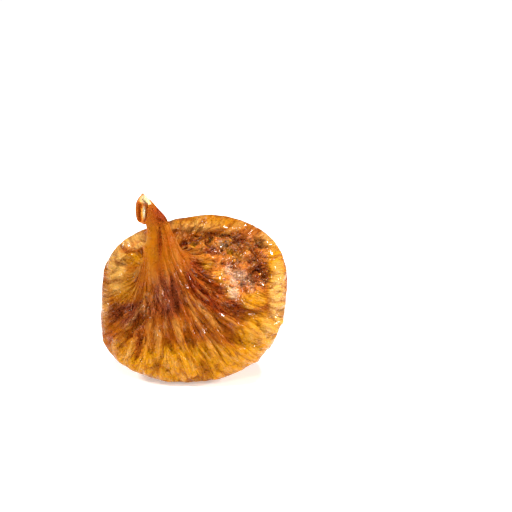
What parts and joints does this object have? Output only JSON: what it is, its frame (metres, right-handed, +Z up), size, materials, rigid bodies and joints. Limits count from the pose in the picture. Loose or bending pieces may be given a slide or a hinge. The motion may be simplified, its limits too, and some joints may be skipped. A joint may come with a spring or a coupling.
{
  "type": "dried fig",
  "caption": "Whole dried fig that leans back on its pressed underside, with a wrinkled skin, a hooked neck, a cut stalk end and a sunken, crumpled hollow inside a thick rolled rim.",
  "frame": {"origin": "middle of the footprint of the whole fig, on the surface that it rests on", "axes": "+Z up, the broad front face with the hollow towards -Y, the neck and its cut stalk end towards -X and up"},
  "size_m": [0.05, 0.032, 0.0511],
  "materials": {
    "fig_skin": "satin"
  },
  "bodies": {
    "root": {"fig": "fig_skin"}
  },
  "joints": []
}
